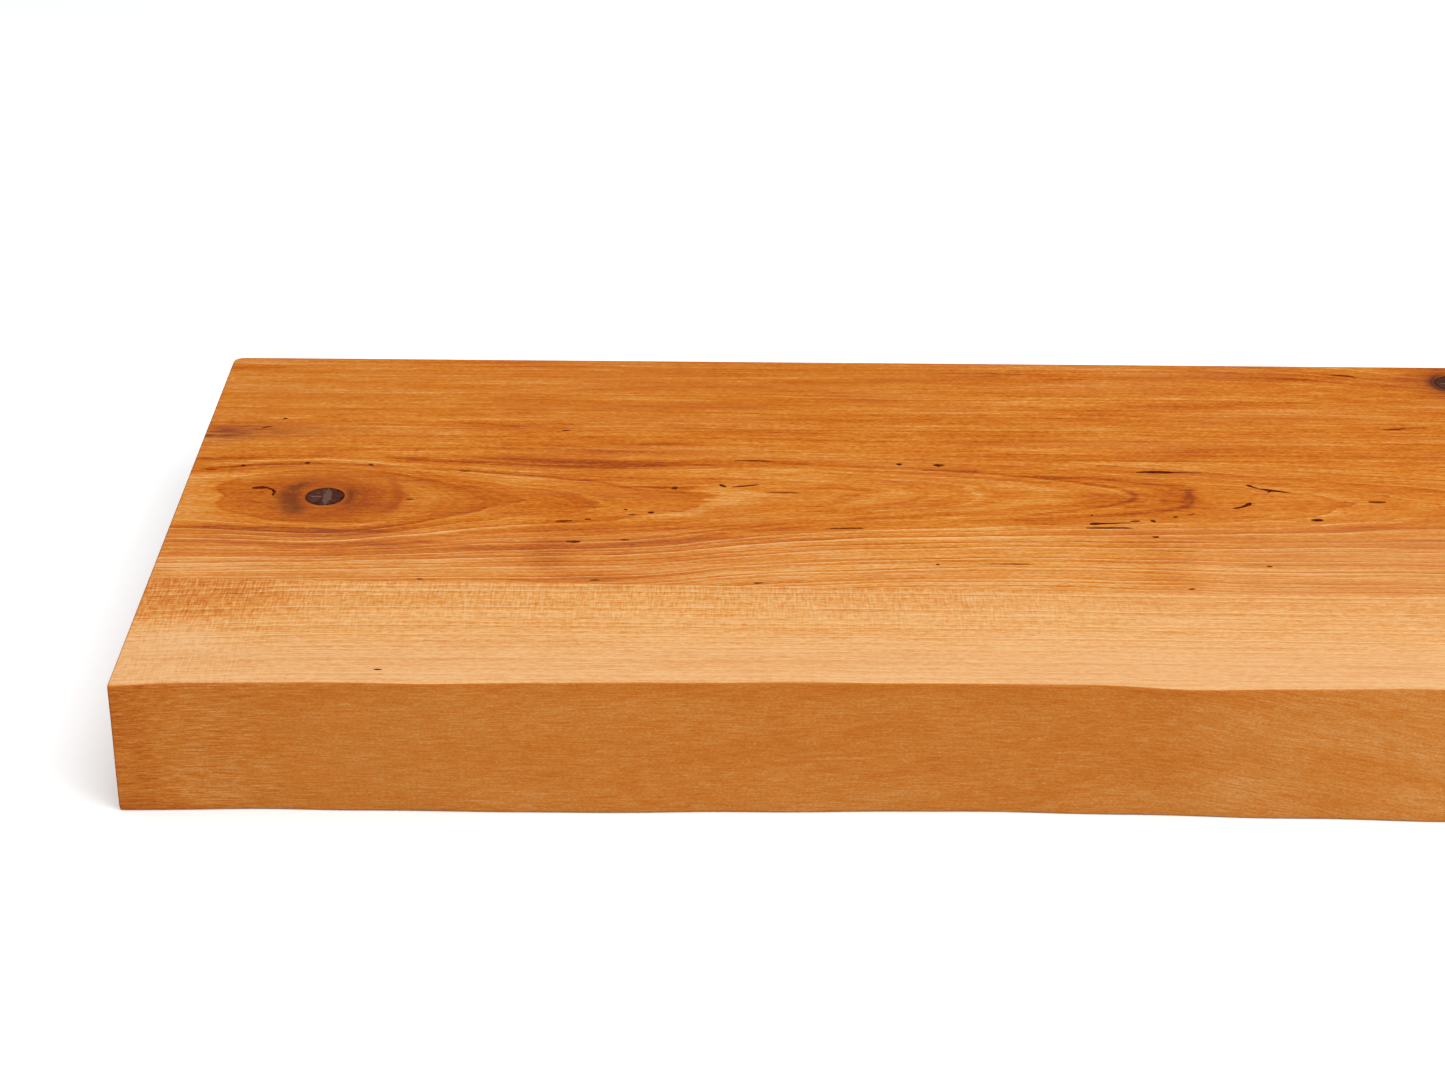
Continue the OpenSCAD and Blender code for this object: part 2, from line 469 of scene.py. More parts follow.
def arched_wood():
    """Heartwood sawn close to the pith, so that its rings arch along the top, round a dead knot."""
    wood = Surface("arched_cherry")
    x, y, depth = wood.x, wood.y, wood.depth
    axis = wood.along(PITH_LINE)
    aside = y - axis + wood.noise((70, 50, 50), seed=1.3, detail=1) * 5
    down = (x - LEFT_X / MM) * PITH_SLOPE + PITH_DEPTH - depth
    rings = (aside * aside + down * down).root() - wood.spot((-400, 5), (40, 40)) * 4
    rings = rings + wood.noise((45, 7, 7), seed=5.5) * 0.9
    waver = wood.noise((16, 4, 4), seed=9.9) * 2.2
    skin = wood.skin()

    out = teardrop(wood)
    inside = out.rise(1.03, 0.97) * skin
    grain, relief = fibres(wood, 3.1, 0.55, 0.55, 0.25, 0.35)
    tone = 0.59 + grain
    tone = tone - wood.growth(rings, 1.35, seed=2.2) * (y.rise(-6, -30) * 0.22 + 0.1) * (1 - inside * 0.8)
    tone = tone + wood.layers(rings, 0.35, seed=6.3, detail=2, rough=0.6) * 0.28
    tone = tone + wood.layers(rings, 2.2, seed=4.4, detail=1) * (x.rise(-170, -230) * 0.3 + 0.18)
    paler = y.rise(-14, -48) * (x.rise(-330, -190) * 0.08 + 0.05) + wood.spot((-453, 4), (9, 12)) * 0.1
    tone = tone + paler + y.rise(-36, -46) * x.rise(-260, -330) * 0.03

    tone = tone + wood.streaks(waver, ARCHED_PALE) * skin * 0.08
    dark = wood.streaks(waver, ARCHED_DARK) + wood.spots(ARCHED_DARK_SPOTS)
    dark = dark + wood.arch((-57, 12.7), 1.3, 0.0085, 3) * y.rise(23.5, 20) * x.rise(-140, -85) * 0.8
    dark = dark + ((x + 59 + (13 - y) * 0.32 + waver) / 2.2).bell() * y.rise(2, 6) * y.rise(24, 20) * 0.8
    dark = dark + wood.arch((-79.5, 13.8), 1.3, 1 / 6.5) * x.rise(-132, -108)
    dark = dark + wood.arch((-162, 15), 1.1, 1 / 7) * x.rise(-215, -180) * 0.4
    dark = dark + wood.arch((43, 4), 1.6, 1 / 7) * x.rise(-40, 0) * 0.35
    worn = wood.noise((12, 2.5, 2.5), seed=2.9) * 1.6 + 1
    tone = tone - dark * worn * skin * 0.2

    # Painted shade and sheen: darker or paler spots, and a darker patch at the front right, where the polish
    # would catch the light differently
    painted_shade_and_sheen = wood.spots(ARCHED_PAINTED_SHADE_AND_SHEEN)
    painted_shade_and_sheen = painted_shade_and_sheen + x.rise(-60, 20) * y.rise(-2, -20) * 0.3
    tone = tone - painted_shade_and_sheen * skin * 0.1

    rim = ((out - 0.985) / 0.035).bell() * skin
    bark, collar, red, whorls = knot_surround(wood)
    tone = tone - inside * 0.07 - rim * 0.08 - inside * red * 0.16 + (collar * 0.12 + whorls) * skin
    end, side = sawn_faces(wood)
    # Faces that aren't level get painted shade; sawn ends are darker still
    tone = (tone - side * 0.08).above(0.2) - end * 0.2
    colour = wood.colour(tone, CHERRY)
    colour = blush(wood, colour, 2.8, 0.15)
    colour = wood.mix(y.rise(-8, -30) * x.rise(-160, -260) * skin * 0.15, colour, (214, 134, 84))
    colour = wood.mix(x.rise(-130, 0) * y.rise(6, -30) * skin * 0.3, colour, (220, 154, 98))
    colour = wood.mix(inside * (red * 0.5 + 0.12), colour, (168, 78, 18))
    colour = wood.mix((bark * skin).below(0.8) * 0.9, colour, (104, 46, 20))
    return oiled(wood, colour, relief)


# Dark streaks in the straight board, as rows of width, fade, strength and (x, y) points in mm
STRAIGHT_DARK = [
    (1.6, 20, 0.5, [(-440, 139), (-400, 137.5), (-330, 139), (-300, 140)]),
    (1.2, 8, 0.9, [(-470, 131), (-450, 130.5), (-430, 131)]),
    (1.5, 14, 0.5, [(-320, 107), (-300, 110.5), (-275, 113), (-215, 115)]),
    (1, 6, 0.7, [(-355, 76), (-338, 75), (-325, 72)]),
    (1.2, 8, 0.6, [(-276, 74), (-262, 73.5), (-232, 75)]),
    (3, 30, 0.35, [(-215, 128), (-160, 124), (-110, 120)]),
    (1.4, 20, 0.4, [(-185, 131), (-130, 130.5), (-75, 132)]),
    (1.2, 10, 0.7, [(-110, 123), (-80, 126), (-55, 126.5), (-40, 126)]),
    (1.3, 20, 0.6, [(-70, 140), (-30, 134), (5, 127.5), (40, 121), (66, 118)]),
    (1.3, 10, 0.6, [(-20, 141), (20, 132), (45, 127), (60, 125)]),
    (1.2, 20, 0.55, [(-345, 58), (-310, 56), (-270, 57), (-200, 56)]),
    (1, 8, 0.8, [(28, 76.5), (40, 78), (56, 80)]),
    (2.4, 20, 0.5, [(-330, 90), (-300, 98), (-260, 96), (-230, 99)]),
]

# Its dark spots, as rows of place, reach and strength
STRAIGHT_DARK_SPOTS = [
    ((-326, 87.5), (6, 3), 0.6),
    ((-237.5, 125.7), (4, 2.5), 0.6),
    ((-441, 80), (4, 1.6), 0.6),
    ((-407, 81), (5, 1.6), 0.7),
    ((-270, 58), (40, 3), 0.6),
    ((-262, 74), (7, 2), 0.7),
]


def straight_wood():
    """Straight-grained heartwood with faint streaks, and rings that sweep round a second knot."""
    wood = Surface("straight_cherry")
    x, y, depth = wood.x, wood.y, wood.depth
    rings = y * 0.85 + depth * 0.5 + wood.noise((120, 30, 30), seed=6.1, detail=1) * 8
    rings = rings + wood.spot((72, 120), (50, 26)) * 14
    waver = wood.noise((16, 4, 4), seed=3.7) * 2.2
    skin = wood.skin()
    grain, relief = fibres(wood, 5.2, 0.6, 0.42, 0.28, 0.55)
    tone = 0.57 + grain + wood.noise((7, 1.8, 1.8), seed=8.8) * 0.28
    tone = tone - wood.growth(rings, 5, seed=3.1) * 0.09
    tone = tone + wood.layers(rings, 2.2, seed=9.2, detail=2, rough=0.6) * 0.2
    dark = wood.streaks(waver, STRAIGHT_DARK) + wood.spots(STRAIGHT_DARK_SPOTS)
    worn = wood.noise((12, 2.5, 2.5), seed=2.9) * 1.6 + 1
    tone = tone - dark * worn * skin * 0.17
    # Painted shade: darker towards the right at the front and back of the board and along its front by the
    # joint, paler at the back on the left
    painted_shade = x.rise(-120, 0) * (y.rise(70, 50) + y.rise(100, 130)) - x.rise(-300, -390) * y.rise(84, 100) * 0.8
    tone = tone - (painted_shade + y.rise(60, 50) * 0.5) * skin * 0.07
    # Bruise of old bark at the left end, and reddened wood round the knot
    bruise = (wood.spot((-456, 63), (18, 7)) + wood.spot((-430, 68), (26, 7)) * 0.5) * skin
    bruise = bruise * (wood.noise((9, 1.5, 1.5), seed=7.4) * 5 + 0.9).above(0)
    over, past = x - BACK_KNOT[0], y - BACK_KNOT[1]
    off_knot = (over * over + past * past).root()
    red = (off_knot / 15).bell() * skin
    bark = ((off_knot - 9) / 2).bell() * over.rise(-1, -8) * skin
    end, side = sawn_faces(wood)
    # The wood round the knot is reddened, faces that aren't level get painted shade, and sawn ends are
    # darker still
    tone = (tone - red * 0.2 - side * 0.08).above(0.2) - end * 0.2
    colour = wood.colour(tone, CHERRY)
    colour = blush(wood, colour, 6.4, 0.2)
    colour = wood.mix(x.rise(-120, -180) * y.rise(76, 96) * skin * 0.25, colour, (200, 106, 8))
    colour = wood.mix(bruise * 0.6, colour, (136, 66, 38))
    colour = wood.mix(red * 0.6, colour, (140, 62, 26))
    colour = wood.mix(bark * 0.85, colour, (80, 38, 28))
    return oiled(wood, colour, relief)


def pale_wood():
    """Pale sapwood with close parallel rings, and curly figure across the grain under the joint."""
    wood = Surface("pale_cherry")
    x, y, depth = wood.x, wood.y, wood.depth
    rise = wood.along([(-457, -6), (-420, -2.5), (-370, 0), (-200, 1), (0, 0), (457, 3)])
    rings = y - rise + depth * 0.35 + wood.noise((60, 30, 30), seed=3.9, detail=1) * 3
    skin = wood.skin(12)
    left = x.rise(-385, -425)
    curled = y.rise(-106, -72) * x.rise(-60, -160) * 0.8 + 0.2 + left * 0.6
    curl = wood.noise((0.8, 7, 7), seed=4.7, detail=1) * curled
    grain, relief = fibres(wood, 1.9, 0.6, 0.4, 0.1, 0.2)
    tone = 0.825 + grain
    tone = tone - wood.growth(rings, 3.4, seed=7.2) * 0.16
    tone = tone + wood.layers(rings, 0.9, seed=1.2, detail=2, rough=0.6) * 0.2
    tone = tone + curl * 0.5 * skin
    tone = tone - y.rise(-92, -66) * 0.07 - left * y.rise(-96, -84) * 0.15
    # Painted highlight: a pale patchy spot at the front left end, and a paler strip along the front on the
    # left
    painted_highlight = wood.spot((-438, -107), (15, 9)) * (wood.noise((2.5, 12, 12), seed=5.8) * 2 + 0.8)
    tone = tone + (painted_highlight + y.rise(-116, -126) * x.rise(-220, -300) * 0.5) * skin * 0.08
    end, side = sawn_faces(wood)
    # The live edge is darker, partly its own wood and partly painted shade, with short fibres that lean down
    # to the right further along
    lean = x.rise(-120, -50)
    shifted = wood.z + (x + 85) * lean * 0.17
    bristle = wood.noise((1.1, 0.5, 0.35), seed=8.4, at=(x, y, shifted)) * 0.6
    bristle = bristle + wood.noise((9, 0.5, 0.35), seed=4.1, at=(x, y, shifted)) * (left * 0.5 + 0.6)
    blotch = wood.noise((40, 14, 9), seed=2.3, at=(x, y, shifted)) * (lean * 0.1 + 0.2)
    # Darker towards the left end and in the top 9 mm of the face; the darker, redder foot at the left end is
    # painted bounce light from the floor
    edge = x.rise(-430, -457) * 0.12 + depth.rise(9, 1) * 0.05
    edge = edge + x.rise(-390, -440) * wood.z.rise(9, 0) * 0.12
    face = 0.64 + bristle + blotch - edge + wood.z.rise(26, 4) * 0.03 + x.rise(-95, -65) * 0.04
    tone = tone * (1 - side) + face * side - end * 0.2
    # The live edge's face is mixed towards a darker orange, partly its own wood and partly painted shade
    colour = wood.mix(side * 0.3, wood.colour(tone, CHERRY), (208, 120, 58))
    # Painted sheen: the top face is washed towards a milky pale colour, more to the right and towards the
    # front, and most on the painted highlight
    painted_sheen = x.rise(-320, 0) * 0.1 + y.rise(-92, -120) * 0.25 + 0.1 + painted_highlight * 0.3
    colour = wood.mix((painted_sheen * (1 - side)).below(0.8), colour, (238, 188, 140))
    return oiled(wood, colour, relief)


def knot_wood(name, centre, radius_mm):
    """Dead knot: dark dry wood, split from the middle, with a paler lens along its heart."""
    wood = Surface(name)
    x, y = wood.x - centre.x / MM, wood.y - centre.y / MM
    out = (x * x + y * y).root() / radius_mm
    turn = y.math("ARCTAN2", x)
    rings = wood.layers(out * 3, 0.35, seed=centre.x * 10)
    splits = wood.noise((0.4, 3, 9), seed=6.2, detail=1, at=(turn, out, wood.z))
    grain = wood.noise((1.1, 1.1, 3), seed=2.4, detail=3)
    tone = 0.42 + rings * 0.5 + grain * 0.7 + splits * 0.7 - out.rise(0.82, 1.0) * 0.25
    colour = wood.colour(tone, [(0, (36, 15, 11)), (0.5, (84, 47, 36)), (1, (124, 86, 68))])
    ragged = grain * 2 + wood.layers(y, 1.5, seed=3.3) * 1.2
    lens = 1.7 * (1 - (y / 7) ** 2) - (x - 0.8).size() + ragged
    colour = wood.mix(lens.rise(-0.3, 0.3) * 0.6, colour, (124, 92, 78))
    scratch = ((y - 0.2 - x * 0.05) / 0.35).bell() * x.rise(-5.8, -5) * x.rise(-1, -2)
    colour = wood.mix(scratch * 0.8, colour, (146, 110, 92))
    return wood.finish(colour, grain * 0.3 + 0.65, grain + splits, depth_mm=0.15, specular=0.02)


GUM_BROWNS = [(0.1, (60, 14, 2)), (0.4, (92, 32, 4)), (0.7, (138, 64, 14)), (1, (172, 92, 28))]


def gum(name, paler):
    """Hardened gum in the small pockets between the rings, as brown as it is paler, from 0 to 1."""
    resin = Surface(name)
    grain = resin.noise((2.5, 0.6, 2), seed=7.7)
    tone = grain * 1.2 + 0.35 + paler * 0.4
    colour = resin.colour(tone, GUM_BROWNS)
    return resin.finish(colour, grain * 0.3 + 0.6, grain, depth_mm=0.05, specular=0.0)


def plain_wood(name, rgb):
    """Close even wood, for the loose tenons."""
    wood = Surface(name)
    fine = wood.noise((0.5, 12, 0.5), seed=1.1, detail=3)
    red, green, blue = rgb
    dark = (red * 0.8, green * 0.75, blue * 0.68)
    colour = wood.colour(fine + 0.5, [(0.2, dark), (0.8, rgb)])
    return wood.finish(colour, fine * 0.2 + 0.7, fine, depth_mm=0.05)


def turned_brass():
    metal = Surface("turned_brass")
    marks = metal.noise((0.4, 0.4, 4), seed=5.0, detail=2)
    colour = metal.colour(marks + 0.5, [(0.2, (176, 138, 74)), (0.8, (214, 180, 112))])
    metal.shader.inputs["Metallic"].default_value = 1
    return metal.finish(colour, marks * 0.3 + 0.35, marks, depth_mm=0.02)


# ---------------------------------------------------------------- boards
EASE = 1 * MM
# The boards' top stays a hair below the gum in it
GUM_PROUD = 0.03 * MM
BOARD_Z = TOP_Z - GUM_PROUD
BACK_CORNER = 5 * MM
# Depth of a mortise past the end of its tenon
MORTISE_SPARE = 3 * MM
MORTISE_STEPS = 12
STATION_GAP = 4 * MM
ARC_STEPS = 4


def quarter_arc(steps=ARC_STEPS):
    """(run, rise) pairs from (0, 1) round to (1, 0)."""
    angles = [math.pi / 2 * i / steps for i in range(steps + 1)]
    return [(math.sin(a), math.cos(a)) for a in angles]


def stations():
    """Places along x for the boards' cross-sections, closer together round the eased ends."""
    count = round((RIGHT_X - LEFT_X) / STATION_GAP)
    inner = RIGHT_X - BACK_CORNER
    places = set(np.round(np.linspace(-inner, inner, count), 6))
    for radius, steps in ((EASE, ARC_STEPS), (BACK_CORNER, 8)):
        for run, _ in quarter_arc(steps):
            places.add(round(RIGHT_X - radius + radius * run, 6))
    return sorted(places | {-place for place in places})


def end_inset(x, radius):
    """How far a rounded end of the given radius draws the other faces in at x."""
    over = abs(x) - (RIGHT_X - radius)
    return radius - math.sqrt(max(radius**2 - over**2, 0)) if over > 0 else 0.0


joint_left_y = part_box("front_board")[1].y
joint_right_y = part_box("middle_board")[0].y
back_joint_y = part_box("back_board")[0].y


def front_joint_y(x):
    return float(np.interp(x, (LEFT_X, RIGHT_X), (joint_left_y, joint_right_y)))


def back_joint_y_at(x):
    return back_joint_y


def back_edge_y(x):
    return BACK_Y - end_inset(x, BACK_CORNER)


# How far the live edge's upper and lower lines stand behind its foremost point, in mm at places along x
UPPER_EDGE = [(-457, 2), (-446, 3.6), (-435, 5), (-397, 6.1), (-345, 5.7), (-310, 7),
              (-230, 8.6), (-150, 9), (-105, 8.5), (-80, 6), (-60, 6.2), (0, 8),
              (60, 6.5), (150, 8.5), (240, 5.5), (330, 8.5), (457, 6)]
LOWER_EDGE = [(-457, 0.9), (-400, 2.6), (-345, 1.8), (-290, 1.7), (-220, 3.3), (-150, 4.7), (-97, 3.4),
              (-50, 2), (-20, 1.6), (15, 0), (120, 3.5), (230, 1), (330, 4), (457, 1.5)]


def behind_front(x, line):
    """Y of one of the two lines at x, with its corners rounded off."""
    places, setbacks = np.array(line).T * MM
    reach = np.linspace(-9, 9, 7) * MM
    return FRONT_Y + float(np.interp(x + reach, places, setbacks).mean())


def live_edge_y(x, z):
    """Y of the live edge's face, which leans back between its lower and its upper line."""
    lower, upper = behind_front(x, LOWER_EDGE), behind_front(x, UPPER_EDGE)
    ripple = 0.25 * MM * math.sin(x * 95 + z * 60) * math.sin(z * 130 + x * 21)
    return max(lower + (upper - lower) * z / TOP_Z + ripple, FRONT_Y)


def rectangle_section(front, back, ease_back=False):
    """Function of x that gives a board's closed section of (y, z) points, from the front foot upwards."""

    def section(x):
        drop = end_inset(x, EASE)
        low, high = drop, BOARD_Z - drop
        y0, y1 = front(x), back(x)
        points = [(y0, low), (y0, high)]
        if not ease_back:
            return points + [(y1, high), (y1, low)]
        arc = [(y1 - EASE + EASE * run, high - EASE + EASE * rise) for run, rise in quarter_arc()]
        return points + arc + [(y, low + high - z) for y, z in reversed(arc)]

    return section


def live_section(x):
    """Section of the front board: the joint at the back, and the eased, wavy live edge at the front."""
    drop = end_inset(x, EASE)
    low, high = drop, BOARD_Z - drop
    levels = np.linspace(low + EASE, high - EASE, 12)
    face = [(live_edge_y(x, z) + drop, z) for z in levels]
    top_arc = [(face[-1][0] + EASE - EASE * rise, high - EASE + EASE * run) for run, rise in quarter_arc()]
    foot_arc = [(face[0][0] + EASE - EASE * rise, low + EASE - EASE * run) for run, rise in quarter_arc()]
    y1 = front_joint_y(x)
    return list(reversed(foot_arc)) + face[1:-1] + top_arc + [(y1, high), (y1, low)]


def loft(name, section):
    """Closed solid through the section at each station, with flat ends."""
    mesh = bmesh.new()
    rings = [[mesh.verts.new((x, y, z)) for y, z in section(x)] for x in stations()]
    for ring, following in zip(rings, rings[1:]):
        for i in range(len(ring)):
            j = (i + 1) % len(ring)
            mesh.faces.new((ring[i], following[i], following[j], ring[j]))
    mesh.faces.new(rings[0])
    mesh.faces.new(reversed(rings[-1]))
    bmesh.ops.recalc_face_normals(mesh, faces=mesh.faces)
    return object_from(mesh, name)


def cut(piece, cutters):
    """Takes the shapes of other objects out of the piece."""
    for cutter in cutters:
        tool = piece.modifiers.new("cut", "BOOLEAN")
        tool.operation = "DIFFERENCE"
        tool.solver = "EXACT"
        tool.object = cutter
    bake_modifiers(piece)


def bake_modifiers(piece):
    """Makes what the piece's modifiers show its own mesh."""
    graph = bpy.context.evaluated_depsgraph_get()
    shaped = bpy.data.meshes.new_from_object(piece.evaluated_get(graph))
    piece.modifiers.clear()
    old, piece.data = piece.data, shaped
    bpy.data.meshes.remove(old)


def smooth(piece, angle=35):
    """Smooth shading that keeps flat faces flat and real corners sharp."""
    piece.data.shade_smooth()
    piece.data.set_sharp_from_angle(angle=math.radians(angle))
    weighting = piece.modifiers.new("flat_faces", "WEIGHTED_NORMAL")
    weighting.keep_sharp = True
    bake_modifiers(piece)


def spun(name, profile, centre, steps=48):
    """Closed solid of revolution round a vertical line, from (radius, z) points that start and end on it."""
    mesh = bmesh.new()
    around = [2 * math.pi * i / steps for i in range(steps)]
    rings = []
    for radius, z in profile:
        if radius == 0:
            rings.append([mesh.verts.new((centre.x, centre.y, z))])
        else:
            spots = [(centre.x + radius * math.cos(a), centre.y + radius * math.sin(a), z) for a in around]
            rings.append([mesh.verts.new(spot) for spot in spots])
    for ring, following in zip(rings, rings[1:]):
        for i in range(steps):
            j = (i + 1) % steps
            corners = [ring[i % len(ring)], ring[j % len(ring)],
                       following[j % len(following)], following[i % len(following)]]
            mesh.faces.new(list(dict.fromkeys(corners)))
    bmesh.ops.recalc_face_normals(mesh, faces=mesh.faces)
    return object_from(mesh, name)


def middle_of(node):
    low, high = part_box(node)
    return (low + high) / 2


def pocket_for(node, over=1 * MM):
    """Round cutter as wide as a CAD node and a little taller, for its pocket."""
    low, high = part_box(node)
    radius = (high.x - low.x) / 2
    bottom = low.z - over if low.z <= EASE else low.z
    top = high.z + over if high.z >= TOP_Z - EASE else high.z
    return spun("pocket_" + node, [(0, bottom), (radius, bottom), (radius, top), (0, top)], middle_of(node))


def mortise_for(tenon):
    """Cutter shaped like a loose tenon, and longer by the spare depth at both its ends."""
    low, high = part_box(tenon)
    centre = middle_of(tenon)
    radius = (high.z - low.z) / 2
    outline = []
    for side in (1, -1):
        middle_x = centre.x + side * ((high.x - low.x) / 2 - radius)
        for i in range(MORTISE_STEPS + 1):
            angle = math.pi * i / MORTISE_STEPS
            x, z = side * radius * math.sin(angle), side * radius * math.cos(angle)
            outline.append((middle_x + x, centre.z - z))
    mesh = bmesh.new()
    near, far = [[mesh.verts.new((x, y, z)) for x, z in outline]
                 for y in (low.y - MORTISE_SPARE, high.y + MORTISE_SPARE)]
    for i in range(len(outline)):
        j = (i + 1) % len(outline)
        mesh.faces.new((near[i], near[j], far[j], far[i]))
    mesh.faces.new(near)
    mesh.faces.new(reversed(far))
    bmesh.ops.recalc_face_normals(mesh, faces=mesh.faces)
    return object_from(mesh, "mortise_" + tenon)


def make_boards():
    """The three boards, each in place of its CAD node, with the pockets that its neighbours sit in."""
    sections = {
        "front_board": live_section,
        "middle_board": rectangle_section(front_joint_y, back_joint_y_at),
        "back_board": rectangle_section(back_joint_y_at, back_edge_y, ease_back=True),
    }
    woods = {"front_board": pale_wood(), "middle_board": arched_wood(), "back_board": straight_wood()}
    inserts = [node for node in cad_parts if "_insert_" in node]
    holds = {
        "front_board": [node for node in inserts if middle_of(node).y < 0],
        "middle_board": ["left_knot"],
        "back_board": [node for node in inserts if middle_of(node).y > 0] + ["back_knot"],
    }
    tenons = {
        "front_board": [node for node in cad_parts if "front_tenon_" in node],
        "middle_board": [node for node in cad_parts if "_tenon_" in node],
        "back_board": [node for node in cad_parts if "back_tenon_" in node],
    }
    for node, section in sections.items():
        board = loft(node + "_shaped", section)
        cutters = [pocket_for(held) for held in holds[node]] + [mortise_for(tenon) for tenon in tenons[node]]
        cut(board, cutters)
        for cutter in cutters:
            bpy.data.objects.remove(cutter)
        smooth(board)
        board.data.materials.append(woods[node])
        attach(board, BODY)
        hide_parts(node)


def make_knots():
    for node in ("left_knot", "back_knot"):
        low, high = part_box(node)
        radius = (high.x - low.x) / 2
        centre = middle_of(node)
        # Tapered below, with its top edge just broken and a faint dish in its middle
        shares = [(0.55, low.z), (0.985, BOARD_Z - 0.2 * MM)]
        shares += [(share, BOARD_Z) for share in (0.97, 0.9, 0.75, 0.5, 0.25)]
        profile = [(0, low.z), *((radius * share, z) for share, z in shares), (0, BOARD_Z - 0.02 * MM)]
        knot = spun(node + "_shaped", profile, centre, steps=64)
        smooth(knot)
        knot.data.materials.append(knot_wood(node + "_wood", centre, radius / MM))
        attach(knot, BODY)
        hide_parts(node)


